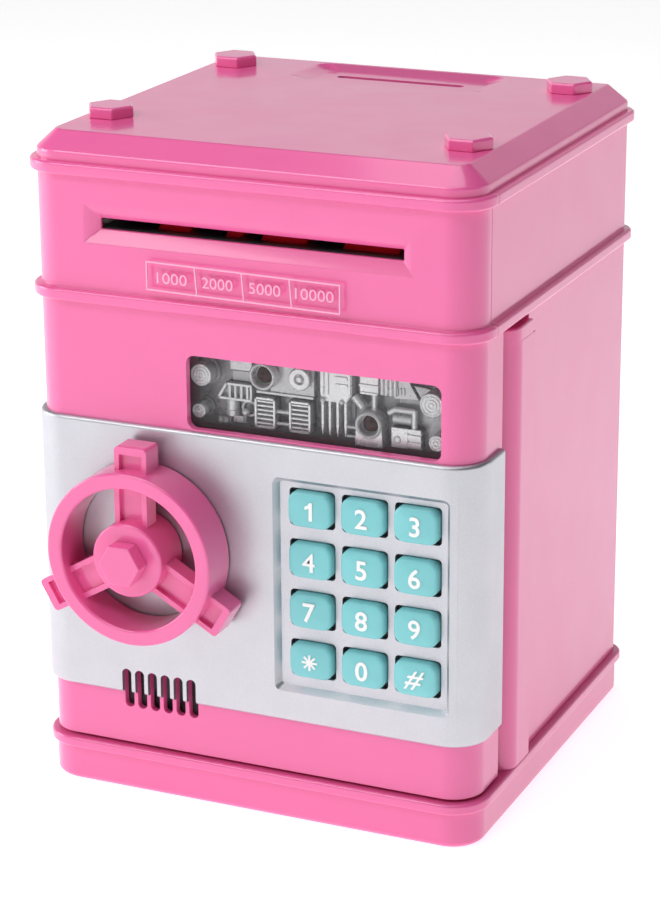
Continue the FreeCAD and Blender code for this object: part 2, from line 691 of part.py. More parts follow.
def feed_tyres():
    tyres = []
    for low, high in TYRE_SPANS:
        tyre = round_edges(rod("X", FEED_Y, FEED_Z, TYRE_RADIUS, low, high), 0.5, "X", (low, high))
        tyres.append(tyre.cut(rod("X", FEED_Y, FEED_Z, FEED_SHAFT_RADIUS + 0.01, low, high)))
    return Part.makeCompound(tyres)


def pinch_shaft():
    return rod("X", FEED_Y, PINCH_Z, PINCH_SHAFT_RADIUS, -53, 53)


def pinch_rollers():
    rollers = []
    for low, high in TYRE_SPANS:
        roller = round_edges(rod("X", FEED_Y, PINCH_Z, PINCH_RADIUS, low, high), 0.5, "X", (low, high))
        rollers.append(roller.cut(rod("X", FEED_Y, PINCH_Z, PINCH_SHAFT_RADIUS + 0.01, low, high)))
    return Part.makeCompound(rollers)


# ---- wiring in the case ----
def body_harness():
    """Junction block, hinge lead, battery lead and motor lead."""
    junction = block(56.5, INSIDE_X, FRONT + 24, FRONT + 31, 153.0, 160.0)
    hinge_lead = wire_lead([Vector(HINGE_X, HINGE_Y, 144.3), Vector(HINGE_X, HINGE_Y, 157),
                            Vector(HINGE_X, FRONT + 24, 157)], 4.0, LEAD_RADIUS)
    battery_lead = wire_lead([Vector(LEAD_X, LEAD_Y, 153), Vector(LEAD_X, LEAD_Y, LEAD_LOW_Z),
                              Vector(46, LEAD_Y, LEAD_LOW_Z), Vector(46, LEAD_END_Y, LEAD_LOW_Z),
                              Vector(31.0, LEAD_END_Y, LEAD_LOW_Z)],
                             5.0, LEAD_RADIUS)
    centres, phases = gear_places()
    motor_y = centres[2][0]
    motor_lead = wire_lead([Vector(56.5, LEAD_Y, 157), Vector(-8, LEAD_Y, 157),
                            Vector(-8, motor_y, 157), Vector(-19.8, motor_y, 157)], 4.0, 1.0)
    return Part.makeCompound([junction, hinge_lead, battery_lead, motor_lead])


# ---- door ----
def door_envelope(grow, low, high, back):
    return footprint(grow, low, high).common(ahead_of(back))


def door_shell():
    outer = door_envelope(0, DOOR_LOW, DOOR_HIGH, FRONT + DOOR_DEPTH)
    inner = door_envelope(-WALL, DOOR_LOW + WALL, DOOR_HIGH - WALL, FRONT + DOOR_DEPTH + 1)
    body = outer.cut(inner)
    hinge_top = block(56, INSIDE_X + 0.5, FRONT + 11.8, FRONT + DOOR_DEPTH, 132.0, DOOR_HIGH - 1)
    hinge_low = block(56, INSIDE_X + 0.5, FRONT + 11.8, FRONT + DOOR_DEPTH, DOOR_LOW + 1, 27.0)
    bearing = rod("Y", WHEEL_X, WHEEL_Z, 6.0, FRONT + 1, FRONT + 9)
    bosses = [rod("Y", x, z, 3.0, FRONT + 1, FRONT + 18) for x, z in DOOR_SCREWS]
    body = fuse([body, hinge_top, hinge_low, bearing] + bosses)
    x0, x1, z0, z1 = WINDOW
    tools = [slab("Y", rectangle(x0, x1, z0, z1), WINDOW_RADIUS, FRONT - 1, FRONT + 3)]
    tools.append(block(5.9, 61.7, FRONT - 1, FRONT + 3, 37.6, 104.0))
    tools.append(rod("Y", WHEEL_X, WHEEL_Z, SPINDLE_RADIUS + RUNNING_GAP, FRONT - 1, FRONT + 10))
    tools.append(rod("Z", HINGE_X, HINGE_Y, BUSH_RADIUS + 0.02, 130, 146))
    tools.append(rod("Z", HINGE_X, HINGE_Y, HINGE_PIN_RADIUS + RUNNING_GAP, 14, 25.5))
    tools += [rod("Y", x, z, 1.2 + SLIP, FRONT + 9, FRONT + 19) for x, z in DOOR_SCREWS]
    return cut(body, tools + vent_cuts())


def control_panel():
    """The silver band with the keypad recess moulded into it."""
    band = round_edges(footprint(PANEL_PROUD, PANEL_LOW, PANEL_HIGH), 1.1, "Z", (PANEL_LOW, PANEL_HIGH))
    band = band.common(ahead_of(PANEL_BACK)).cut(footprint(0, PANEL_LOW - 1, PANEL_HIGH + 1))
    x0, x1, z0, z1 = RECESS
    slope = RECESS_SLOPE
    pan = slab("Y", rectangle(x0 - 1.7, x1 + 1.7, z0 - 1.7, z1 + 1.7), 2.5, FRONT - 0.5, RECESS_BACK)
    body = fuse([band, pan])
    mouth = outline("Y", rectangle(x0, x1, z0, z1), [2.0] * 4, FRONT - PANEL_PROUD - 0.01)
    floor = outline("Y", rectangle(x0 + slope, x1 - slope, z0 + slope, z1 - slope), [1.0] * 4, RECESS_FLOOR)
    tools = [Part.makeLoft([mouth, floor], True, True)]
    for x, z in key_centres():
        tools.append(slab("Y", centred(x, z, KEY_HOLE), 1.2, FRONT, RECESS_BACK + 1))
    tools.append(rod("Y", WHEEL_X, WHEEL_Z, 4.0, FRONT - 5, FRONT + 1))
    return cut(body, tools + vent_cuts())


def keypad_key(x, z):
    cap = slab("Y", centred(x, z, KEY_CAP), 2.6, KEY_FRONT, RECESS_BACK + 0.1)
    cap = round_edges(cap, 1.0, "Y", (KEY_FRONT,))
    flange = slab("Y", centred(x, z, KEY_FLANGE), 1.5, RECESS_BACK + 0.1, RECESS_BACK + 1.0)
    return fuse([cap, flange])


def key_membrane():
    sheet = slab("Y", rectangle(7.0, 60.8, 38.6, 103.2), 2.0, FRONT + 4.7, FRONT + 5.4)
    domes = [rod("Y", x, z, 2.6, FRONT + 4.4, FRONT + 4.8) for x, z in key_centres()]
    return fuse([sheet] + domes)


def circuit_board():
    board = slab("Y", rectangle(4, 62, 36, 108.5), 1.0, FRONT + 5.4, BOARD_BACK)
    chip = block(20, 34, FRONT + 6.9, FRONT + 8.2, 55, 69)
    socket = block(46, 54, FRONT + 6.9, FRONT + 17.5, 84, 92)
    return fuse([board, chip, socket])


def window_lens():
    x0, x1, z0, z1 = WINDOW
    return slab("Y", rectangle(x0 - 1.6, x1 + 0.2, z0 - 1.6, z1 + 1.8), 2.0, FRONT + WALL, FRONT + 3.6)


def gear_relief():
    """The moulded mock-up of a lock mechanism that shows through the window."""
    plate = slab("Y", rectangle(-19.2, 57.4, 111.0, 134.0), 1.0, RELIEF_PLATE, RELIEF_BACK)
    mid = FRONT + 7.0
    features = [rod("Y", RING_ONE[0], RING_ONE[1], 4.0, RELIEF_FRONT, RELIEF_PLATE + 0.5),
                rod("Y", RING_TWO[0], RING_TWO[1], 4.1, RELIEF_FRONT, RELIEF_PLATE + 0.5),
                rod("Y", -16.0, 126.2, 3.1, RELIEF_FRONT, RELIEF_PLATE + 0.5),
                rod("Y", -17.0, 115.9, 2.1, RELIEF_FRONT, RELIEF_PLATE + 0.5),
                rod("Y", 51.7, 125.8, 3.4, RELIEF_FRONT, RELIEF_PLATE + 0.5),
                rod("Y", 53.2, 115.4, 2.3, RELIEF_FRONT, RELIEF_PLATE + 0.5),
                block(-9, -2, mid, RELIEF_PLATE + 0.5, 114, 131),
                block(12, 20, mid, RELIEF_PLATE + 0.5, 122, 133),
                block(20.5, 27, mid, RELIEF_PLATE + 0.5, 112, 132),
                block(42, 48, mid, RELIEF_PLATE + 0.5, 112, 120)]
    body = fuse([plate] + features)
    wells = [rod("Y", x, z, 2.9, RELIEF_FRONT - 1, RELIEF_FRONT + 3) for x, z in (RING_ONE, RING_TWO)]
    seats = [rod("Y", x, z, 2.5 + SLIP, RELIEF_FRONT, RELIEF_BACK + 1) for x, z in (RING_ONE, RING_TWO)]
    return cut(body, wells + seats)


def led_lenses():
    lamps = []
    for x, z in (RING_ONE, RING_TWO):
        stem = rod("Y", x, z, 2.5, RELIEF_FRONT + 3.2, RELIEF_BACK + 1.5)
        dome = Part.makeSphere(2.5, Vector(x, RELIEF_FRONT + 3.2, z))
        lamps.append(fuse([stem, dome]))
    return Part.makeCompound(lamps)


def speaker():
    cone = rod("Y", -28.4, 33, 14, FRONT + 2.4, FRONT + 5)
    magnet = rod("Y", -28.4, 33, 8, FRONT + 5, FRONT + 12)
    return fuse([cone, magnet]).cut(Part.makeCone(9, 4, 1.6, Vector(-28.4, FRONT + 2.4, 33), Vector(0, 1, 0)))


def door_back_cover():
    corners = [(-63.6, 17.2), (55.7, 17.2), (55.7, 27.3), (63.6, 27.3), (63.6, 131.7), (55.7, 131.7),
               (55.7, 141.5), (-63.6, 141.5)]
    plate = slab("Y", corners, [1.5, 0, 0, 0.5, 0.5, 0, 0, 1.5], FRONT + 18, FRONT + DOOR_DEPTH)
    holes = [rod("Y", WHEEL_X, WHEEL_Z, SPINDLE_RADIUS + 0.3, FRONT + 17, FRONT + 21)]
    for x, z in DOOR_SCREWS:
        holes.append(rod("Y", x, z, 1.2 + SLIP, FRONT + 17, FRONT + 21))
        holes.append(rod("Y", x, z, 2.6, FRONT + 18.9, FRONT + 21))
    return cut(plate, holes)


def door_back_screws():
    screws = []
    for x, z in DOOR_SCREWS:
        head = rod("Y", x, z, 2.4, FRONT + 18.9, FRONT + DOOR_DEPTH)
        shank = rod("Y", x, z, 1.2, FRONT + 10, FRONT + 19)
        slot = block(x - 1.6, x + 1.6, FRONT + 19.4, FRONT + 21, z - 0.35, z + 0.35)
        screws.append(fuse([head, shank]).cut(slot))
    return Part.makeCompound(screws)


def hinge_bush():
    return tube("Z", HINGE_X, HINGE_Y, BUSH_RADIUS, 1.9, 133.0, 152.0)


def hinge_pin():
    return rod("Z", HINGE_X, HINGE_Y, HINGE_PIN_RADIUS, 7.2, 24.5)


def solenoid():
    frame = slab("Y", rectangle(SOLENOID_FRONT_X, 12, 70.5, 83.5), 0.8, FRONT + 8.4, FRONT + 18)
    bore = rod("X", PLUNGER_Y, WHEEL_Z, PLUNGER_RADIUS + RUNNING_GAP, SOLENOID_FRONT_X - 1, 5)
    return frame.cut(bore)


def lock_plunger():
    pin = rod("X", PLUNGER_Y, WHEEL_Z, PLUNGER_RADIUS, PLUNGER_TIP_X, 4.0)
    collar = rod("X", PLUNGER_Y, WHEEL_Z, 3.2, COLLAR_X - 0.8, COLLAR_X)
    return pin.fuse(collar)


def plunger_spring():
    """Closely wound return spring between the plunger's collar and the solenoid."""
    turns = 4
    length = SOLENOID_FRONT_X - COLLAR_X
    wire = 0.3
    coils = []
    for i in range(turns):
        x = COLLAR_X + wire + (length - 2 * wire) * i / (turns - 1)
        coils.append(Part.makeTorus(2.6, wire, Vector(x, PLUNGER_Y, WHEEL_Z), Vector(1, 0, 0)))
    return Part.makeCompound(coils)


def door_harness():
    """Main lead to the hinge, speaker lead and solenoid lead."""
    main = wire_lead([Vector(HINGE_X, HINGE_Y, 144.3), Vector(HINGE_X, HINGE_Y, 88),
                      Vector(54, HINGE_Y, 88)], 4.0, LEAD_RADIUS)
    to_speaker = wire_lead([Vector(8, BOARD_BACK, 40), Vector(8, FRONT + 10.5, 40),
                            Vector(-18, FRONT + 10.5, 40), Vector(-18, FRONT + 5, 40)], 2.0, 0.6)
    to_solenoid = wire_lead([Vector(6, BOARD_BACK, 92), Vector(6, FRONT + 12, 92),
                             Vector(6, FRONT + 12, 83.5)], 3.0, 0.6)
    return Part.makeCompound([main, to_speaker, to_solenoid])


# ---- handwheel and latch ----
def handwheel():
    x, z = WHEEL_X, WHEEL_Z
    ring = tube("Y", x, z, RING_OUTER, RING_INNER, WHEEL_FRONT, WHEEL_BACK)
    ring = round_edges(ring, 0.8, "Y", (WHEEL_FRONT,))
    hub = rod("Y", x, z, HUB_RADIUS, HUB_FRONT, WHEEL_BACK)
    hub = round_edges(hub, 0.8, "Y", (HUB_FRONT,))
    half = SPOKE_WIDTH / 2
    web = block(x + 8, x + RING_INNER + 1, FRONT - 10.0, FRONT - 6.0, z - half, z + half)
    flanges = [block(x + 8, x + RING_INNER + 1, FRONT - 11.5, FRONT - 6.0, a, a + 1.6)
               for a in (z - half, z + half - 1.6)]
    spoke = fuse([web] + flanges)
    half = LUG_WIDTH / 2
    lug = slab("Y", rectangle(x + RING_INNER + 2, x + LUG_REACH, z - half, z + half), [0, 1.2, 1.2, 0],
               FRONT - 11, FRONT - 3.7)
    lug = lug.cut(block(x + RING_OUTER - 2, x + LUG_REACH - 2.2, FRONT - 12, FRONT - 9.5,
                        z - half + 1.5, z + half - 1.5))
    lug = lug.cut(rod("Y", x, z, RING_INNER + 1, FRONT - 12, FRONT - 3))
    parts = [ring, hub]
    for angle in SPOKE_ANGLES:
        parts.append(about_y(spoke, x, z, angle))
        parts.append(about_y(lug, x, z, angle))
    body = fuse(parts)
    bore = rod("Y", x, z, SPINDLE_RADIUS + 0.01, FRONT - 12, WHEEL_BACK + 1)
    return body.cut(bore)


def hub_cap():
    corners = []
    for i in range(6):
        angle = math.radians(60 * i)
        corners.append((WHEEL_X + HUB_NUT_RADIUS * math.cos(angle),
                        WHEEL_Z + HUB_NUT_RADIUS * math.sin(angle)))
    nut = slab("Y", corners, 0.6, HUB_NUT_FRONT, HUB_FRONT)
    return round_edges(nut, 0.5, "Y", (HUB_NUT_FRONT,))


def spindle():
    shaft = rod("Y", WHEEL_X, WHEEL_Z, SPINDLE_RADIUS, FRONT - 12, SPINDLE_BACK)
    return round_edges(shaft, 0.4, "Y", (SPINDLE_BACK,))


def latch_tongue():
    corners = rectangle(WHEEL_X - 5, WHEEL_X + 5, WHEEL_Z - 7, WHEEL_Z + TONGUE_REACH)
    bar = slab("Y", corners, [4.5, 4.5, 3, 3], TONGUE_FRONT, FRONT + 27)
    return bar.cut(rod("Y", WHEEL_X, WHEEL_Z, SPINDLE_RADIUS + 0.01, FRONT + 23, FRONT + 28))


def cam_disc():
    disc = rod("Y", WHEEL_X, WHEEL_Z, CAM_RADIUS, CAM_FRONT, CAM_FRONT + 4)
    half = CAM_NOTCH_WIDTH / 2
    notch = block(WHEEL_X + CAM_RADIUS - CAM_NOTCH_DEPTH, WHEEL_X + CAM_RADIUS + 1,
                  CAM_FRONT - 1, CAM_FRONT + 5, WHEEL_Z - half, WHEEL_Z + half)
    bore = rod("Y", WHEEL_X, WHEEL_Z, SPINDLE_RADIUS + 0.01, CAM_FRONT - 1, CAM_FRONT + 5)
    return cut(disc, [notch, about_y(notch, WHEEL_X, WHEEL_Z, -90), bore])


MAKERS = (base_tray, base_deck, battery_cover, battery_cells, battery_contacts, rubber_feet, case_screws,
          body_shell, upper_fascia, top_lid, lid_bolt_caps, inner_shelf, hinge_post, strike_plate,
          coin_chute, note_guide, roller_brackets, motor, motor_pinion, idler_gear, feed_gear, feed_shaft,
          feed_tyres, pinch_shaft, pinch_rollers, body_harness, door_shell, control_panel, key_membrane,
          circuit_board, window_lens, gear_relief, led_lenses, speaker, door_back_cover,
          door_back_screws, hinge_bush, hinge_pin, solenoid, lock_plunger, plunger_spring, door_harness,
          handwheel, hub_cap, spindle, latch_tongue, cam_disc)


def build():
    nodes = {maker.__name__: maker() for maker in MAKERS}
    for name, (x, z) in zip(KEY_NAMES, key_centres()):
        nodes["key_" + name] = keypad_key(x, z)
    return nodes


os.makedirs("parts", exist_ok=True)
for node_name, node_shape in build().items():
    if not node_shape.isValid():
        print("invalid", node_name)
    node_shape.exportStep("parts/" + node_name + ".step")
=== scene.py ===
"""The looks of the toy safe coin bank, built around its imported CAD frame."""

import math

import bmesh
import bpy
from mathutils import Matrix, Vector


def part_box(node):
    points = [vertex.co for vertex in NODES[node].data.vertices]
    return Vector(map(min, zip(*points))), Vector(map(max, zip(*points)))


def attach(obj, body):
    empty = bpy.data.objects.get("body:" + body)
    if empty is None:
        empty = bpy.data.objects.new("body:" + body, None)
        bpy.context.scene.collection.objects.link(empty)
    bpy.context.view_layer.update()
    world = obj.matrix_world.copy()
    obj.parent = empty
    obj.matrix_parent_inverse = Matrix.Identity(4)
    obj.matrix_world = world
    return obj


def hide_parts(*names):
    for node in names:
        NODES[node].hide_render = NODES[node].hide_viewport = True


MM = 0.001
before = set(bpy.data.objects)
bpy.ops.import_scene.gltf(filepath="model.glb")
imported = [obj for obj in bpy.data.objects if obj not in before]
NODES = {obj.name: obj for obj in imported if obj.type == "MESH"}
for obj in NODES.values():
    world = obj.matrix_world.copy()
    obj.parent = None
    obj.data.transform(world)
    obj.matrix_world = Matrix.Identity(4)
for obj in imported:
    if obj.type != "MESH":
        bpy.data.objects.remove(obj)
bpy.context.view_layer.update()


# ---------------------------------------------------------------- places read from the frame
def box_mm(node):
    """A CAD node's lowest and highest corners, in millimetres."""
    low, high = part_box(node)
    return low / MM, high / MM


def middle(node):
    low, high = box_mm(node)
    return (low + high) / 2


FASCIA_FRONT = box_mm("upper_fascia")[0].y
RELIEF_LOW, RELIEF_HIGH = box_mm("gear_relief")
PLATE_THICK = 1.2
RELIEF_PLATE = RELIEF_HIGH.y - PLATE_THICK
RELIEF_FRONT = RELIEF_LOW.y
LENS_RADIUS = 2.5
LENS_LOW, LENS_HIGH = box_mm("led_lenses")
RING_ONE = Vector((LENS_LOW.x + LENS_RADIUS, 0, LENS_HIGH.z - LENS_RADIUS))
RING_TWO = Vector((LENS_HIGH.x - LENS_RADIUS, 0, LENS_LOW.z + LENS_RADIUS))


# ---------------------------------------------------------------- mesh building blocks
def turned(bm, centre, profile, steps=40):
    """A turned solid about an axis along Y through centre (x, z). profile is (radius, y) pairs."""
    rings = []
    for radius, y in profile:
        ring = []
        for i in range(steps):
            angle = 2 * math.pi * i / steps
            x = centre[0] + radius * math.cos(angle)
            z = centre[1] + radius * math.sin(angle)
            ring.append(bm.verts.new((x, y, z)))
        rings.append(ring)
    for first, second in zip(rings, rings[1:]):
        for i in range(steps):
            j = (i + 1) % steps
            bm.faces.new((first[i], first[j], second[j], second[i]))
    bm.faces.new(rings[0][::-1])
    bm.faces.new(rings[-1])


def prism(bm, outline, near, far):
    """A straight solid along Y from an outline of (x, z) points."""
    front = [bm.verts.new((x, near, z)) for x, z in outline]
    back = [bm.verts.new((x, far, z)) for x, z in outline]
    count = len(outline)
    bm.faces.new(front)
    bm.faces.new(back[::-1])
    for i in range(count):
        j = (i + 1) % count
        bm.faces.new((front[j], front[i], back[i], back[j]))


def block(bm, left, right, low, high, near, far):
    prism(bm, ((left, low), (right, low), (right, high), (left, high)), near, far)


def bar(bm, start, end, radius, steps=20):
    """A round bar between two points."""
    start, end = Vector(start), Vector(end)
    along = end - start
    turn = along.to_track_quat("Z", "Y").to_matrix().to_4x4()
    place = Matrix.Translation((start + end) / 2) @ turn
    bmesh.ops.create_cone(bm, cap_ends=True, segments=steps, radius1=radius, radius2=radius,
                          depth=along.length, matrix=place)


def ball(bm, centre, radius):
    bmesh.ops.create_uvsphere(bm, u_segments=24, v_segments=14, radius=radius,
                              matrix=Matrix.Translation(centre))


def rounded_rectangle(width, height, radius, corner_steps=8):
    """Outline points of a rounded rectangle about the origin."""
    points = []
    for quarter, (sx, sz) in enumerate(((1, 1), (-1, 1), (-1, -1), (1, -1))):
        cx = sx * (width / 2 - radius)
        cz = sz * (height / 2 - radius)
        for i in range(corner_steps + 1):
            angle = math.pi / 2 * (quarter + i / corner_steps)
            points.append((cx + radius * math.cos(angle), cz + radius * math.sin(angle)))
    return points


def make_piece(name, bm, material, body, replaces=(), bevel=0.0, crease=40):
    """Turns a bmesh in millimetres into a piece that rides on a CAD body."""
    bmesh.ops.recalc_face_normals(bm, faces=bm.faces)
    bmesh.ops.scale(bm, vec=(MM, MM, MM), verts=bm.verts)
    mesh = bpy.data.meshes.new(name)
    bm.to_mesh(mesh)
    bm.free()
    piece = bpy.data.objects.new(name, mesh)
    bpy.context.scene.collection.objects.link(piece)
    mesh.materials.append(material)
    mesh.shade_smooth()
    mesh.set_sharp_from_angle(angle=math.radians(crease))
    if bevel:
        add_bevel(piece, bevel, crease)
        add_weighted_normals(piece)
    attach(piece, body)
    if replaces:
        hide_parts(*replaces)
    return piece


def add_bevel(piece, width, crease):
    bevel = piece.modifiers.new("edges", "BEVEL")
    bevel.width = width * MM
    bevel.segments = 2
    bevel.limit_method = "ANGLE"
    bevel.angle_limit = math.radians(crease)
    bevel.use_clamp_overlap = True
    return bevel


def add_weighted_normals(piece):
    normals = piece.modifiers.new("normals", "WEIGHTED_NORMAL")
    normals.weight = 80
    normals.keep_sharp = True


# ---------------------------------------------------------------- materials
class Shader:
    """A material's node tree with one Principled shader."""

    def __init__(self, name):
        self.material = bpy.data.materials.new(name)
        self.material.use_nodes = True
        self.tree = self.material.node_tree
        self.principled = self.tree.nodes["Principled BSDF"]
        place = self.tree.nodes.new("ShaderNodeTexCoord")
        self.place = place.outputs["Object"]

    def set(self, **sockets):
        for name, value in sockets.items():
            self.principled.inputs[name.replace("_", " ")].default_value = value

    def noise(self, size_mm, detail=2.0):
        """Noise whose features are about size_mm across."""
        node = self.tree.nodes.new("ShaderNodeTexNoise")
        node.inputs["Scale"].default_value = 1 / (size_mm * MM)
        node.inputs["Detail"].default_value = detail
        self.tree.links.new(self.place, node.inputs["Vector"])
        return node.outputs["Fac"]

    def spread(self, source, low, high, start=0.35, end=0.65):
        """source, from start to end, mapped to low to high."""
        node = self.tree.nodes.new("ShaderNodeMapRange")
        node.inputs["From Min"].default_value = start
        node.inputs["From Max"].default_value = end
        node.inputs["To Min"].default_value = low
        node.inputs["To Max"].default_value = high
        self.tree.links.new(source, node.inputs["Value"])
        return node.outputs["Result"]

    def colours(self, source, first, second):
        node = self.tree.nodes.new("ShaderNodeMix")
        node.data_type = "RGBA"
        node.inputs["A"].default_value = (*first, 1)
        node.inputs["B"].default_value = (*second, 1)
        self.tree.links.new(source, node.inputs["Factor"])
        self.tree.links.new(node.outputs["Result"], self.principled.inputs["Base Color"])

    def bump(self, source, height_mm):
        node = self.tree.nodes.new("ShaderNodeBump")
        node.inputs["Distance"].default_value = height_mm * MM
        self.tree.links.new(source, node.inputs["Height"])
        self.tree.links.new(node.outputs["Normal"], self.principled.inputs["Normal"])

    def rough(self, source, low, high):
        self.tree.links.new(self.spread(source, low, high), self.principled.inputs["Roughness"])


def moulded(name, colour, darker, roughness, grain_mm=0.35, grain_height=0.0007, **sockets):
    """Moulded plastic: a faint cloud in the colour, uneven gloss and a fine moulded grain."""
    shader = Shader(name)
    cloud = shader.noise(25.0, 2.0)
    shader.colours(shader.spread(cloud, 0, 1), colour, darker)
    shader.rough(shader.noise(14.0, 2.0), roughness * 0.93, roughness * 1.07)
    shader.bump(shader.noise(grain_mm), grain_height)
    shader.set(**sockets)
    return shader.material


def tint(colour, share):
    return tuple(value * share for value in colour)


PINK = (0.86, 0.128, 0.37)
PALE_PINK = (0.93, 0.42, 0.62)
TEAL = (0.215, 0.62, 0.65)
WHITE = (0.93, 0.93, 0.93)


def make_materials():
    made = {}
    made["pink_plastic"] = moulded("pink_plastic", PINK, tint(PINK, 0.975), 0.34, Coat_Weight=0.8,
                                   Coat_Roughness=0.09)
    made["inner_pink"] = moulded("inner_pink", tint(PINK, 0.95), tint(PINK, 0.88), 0.45)
    made["red_rubber"] = moulded("red_rubber", (0.95, 0.012, 0.04), (0.85, 0.01, 0.03), 0.45)
    made["dark_rubber"] = moulded("dark_rubber", (0.03, 0.03, 0.032), (0.02, 0.02, 0.02), 0.75)
    made["black_plastic"] = moulded("black_plastic", (0.02, 0.02, 0.022), (0.014, 0.014, 0.015), 0.4)
    made["gear_white"] = moulded("gear_white", (0.8, 0.79, 0.75), (0.74, 0.73, 0.69), 0.4)
    made["teal_key"] = moulded("teal_key", TEAL, tint(TEAL, 0.93), 0.42, 0.25, 0.006)
    made["circuit_green"] = moulded("circuit_green", (0.02, 0.16, 0.06), (0.01, 0.10, 0.04), 0.35)
    made["wire_sleeve"] = moulded("wire_sleeve", (0.55, 0.02, 0.02), (0.45, 0.015, 0.015), 0.4)
    made["battery_jacket"] = moulded("battery_jacket", (0.06, 0.10, 0.16), (0.04, 0.07, 0.12), 0.3)
    made["silver_paint"] = silver_paint()
    made["plated_silver"] = plated_silver()
    made["steel"] = metal("steel", (0.60, 0.60, 0.61), 0.28)
    made["steel_can"] = metal("steel_can", (0.55, 0.55, 0.56), 0.35)
    made["brass"] = metal("brass", (0.80, 0.56, 0.25), 0.3)
    made["led_red"] = led_red()
    made["clear_window"] = clear_window()
    made["digit_white"] = moulded("digit_white", WHITE, tint(WHITE, 0.96), 0.4, 0.2, 0.003)
    made["pale_line"] = moulded("pale_line", PALE_PINK, tint(PALE_PINK, 0.97), 0.35, 0.3, 0.003)
    return made


def metal(name, colour, roughness):
    """Turned or stamped metal with fine scratches."""
    shader = Shader(name)
    shader.colours(shader.spread(shader.noise(5.0, 2.0), 0, 1), colour, tint(colour, 0.93))
    shader.rough(shader.noise(3.0, 2.0), roughness * 0.85, roughness * 1.2)
    shader.bump(shader.noise(0.2), 0.0006)
    shader.set(Metallic=1.0)
    return shader.material


def silver_paint():
    """Satin metallic paint: small flakes in a clear binder."""
    shader = Shader("silver_paint")
    flake = shader.noise(0.22, 1.0)
    shader.colours(shader.spread(flake, 0, 1), (0.58, 0.58, 0.62), (0.52, 0.52, 0.56))
    shader.rough(shader.noise(9.0, 3.0), 0.40, 0.46)
    shader.bump(shader.noise(0.3, 3.0), 0.004)
    shader.set(Metallic=0.9, Coat_Weight=0.25, Coat_Roughness=0.25)
    return shader.material


def plated_silver():
    """Vacuum-plated plastic, with painted shade that darkens it towards its low places."""
    shader = Shader("plated_silver")
    split = shader.tree.nodes.new("ShaderNodeSeparateXYZ")
    shader.tree.links.new(shader.place, split.inputs["Vector"])
    # Painted shade: the nearer a surface lies to the plate, the darker it is, standing in for the shade in
    # the relief's hollows.
    depth = shader.spread(split.outputs["Y"], 0, 1, (RELIEF_PLATE - 3.6) * MM, (RELIEF_PLATE + 0.2) * MM)
    shader.colours(depth, (0.93, 0.93, 0.95), (0.20, 0.20, 0.22))
    shader.rough(shader.noise(3.0, 2.0), 0.26, 0.32)
    shader.bump(shader.noise(0.5, 2.0), 0.0015)
    shader.set(Metallic=0.35)
    return shader.material


def led_red():
    shader = Shader("led_red")
    shader.colours(shader.spread(shader.noise(1.5), 0, 1), (0.06, 0.002, 0.004), (0.025, 0.001, 0.002))
    shader.rough(shader.noise(2.0), 0.06, 0.14)
    shader.set(Specular_IOR_Level=0.25)
    return shader.material


def clear_window():
    """A thin clear pane: seen through, with a soft gloss on it."""
    shader = Shader("clear_window")
    tree = shader.tree
    shader.colours(shader.spread(shader.noise(12.0), 0, 1), (0.9, 0.9, 0.9), (0.85, 0.85, 0.86))
    shader.rough(shader.noise(15.0), 0.04, 0.09)
    clear = tree.nodes.new("ShaderNodeBsdfTransparent")
    mix = tree.nodes.new("ShaderNodeMixShader")
    gloss = tree.nodes.new("ShaderNodeFresnel")
    gloss.inputs["IOR"].default_value = 1.45
    tree.links.new(gloss.outputs["Fac"], mix.inputs["Fac"])
    tree.links.new(clear.outputs["BSDF"], mix.inputs[1])
    tree.links.new(shader.principled.outputs["BSDF"], mix.inputs[2])
    tree.links.new(mix.outputs["Shader"], tree.nodes["Material Output"].inputs["Surface"])
    return shader.material


MATERIALS = make_materials()


# ---------------------------------------------------------------- the CAD nodes' finish
def smooth_by_angle():
    """A modifier group that drops stored normals and keeps only edges over its angle sharp."""
    group = bpy.data.node_groups.new("sharp_by_angle", "GeometryNodeTree")
    group.interface.new_socket("Geometry", in_out="INPUT", socket_type="NodeSocketGeometry")
    group.interface.new_socket("Geometry", in_out="OUTPUT", socket_type="NodeSocketGeometry")
    start = group.nodes.new("NodeGroupInput")
    end = group.nodes.new("NodeGroupOutput")
    normals = group.nodes.new("GeometryNodeSetMeshNormal")
    normals.mode = "SHARPNESS"
    angle = group.nodes.new("GeometryNodeInputMeshEdgeAngle")
    over = group.nodes.new("FunctionNodeCompare")
    over.data_type = "FLOAT"
    over.operation = "GREATER_THAN"
    over.inputs["B"].default_value = math.radians(48)
    group.links.new(angle.outputs["Unsigned Angle"], over.inputs["A"])
    group.links.new(start.outputs[0], normals.inputs["Mesh"])
    normals.inputs["Remove Custom"].default_value = True
    group.links.new(over.outputs["Result"], normals.inputs["Edge Sharpness"])
    group.links.new(normals.outputs["Mesh"], end.inputs[0])
    return group


SMOOTH = smooth_by_angle()
EDGE_WIDTHS = {"pink_plastic": 0.3, "silver_paint": 0.2, "inner_pink": 0.2}


def dress(node):
    """A CAD node gets its slot's material, small rounded edges and clean shading."""
    thing = NODES[node]
    slot = thing.material_slots[0].material.name.split(".")[0]
    thing.material_slots[0].material = MATERIALS[slot]
    weld = thing.modifiers.new("weld", "WELD")
    weld.merge_threshold = 0.002 * MM
    flat = thing.modifiers.new("flat", "DECIMATE")
    flat.decimate_type = "DISSOLVE"
    flat.angle_limit = math.radians(0.5)
    width = EDGE_WIDTHS.get(slot, 0)
    if width:
        add_bevel(thing, width, 40)
    shade = thing.modifiers.new("shade", "NODES")
    shade.node_group = SMOOTH
    add_weighted_normals(thing)


for node_name in NODES:
    dress(node_name)


# ---------------------------------------------------------------- the moulded relief behind the window
# Relief places are millimetres from the plate's left low corner.
# A height is millimetres in front of its plate.
def height(amount):
    return RELIEF_PLATE - amount


def raised(bm, outline, amount):
    prism(bm, outline, height(amount), RELIEF_PLATE + 0.1)


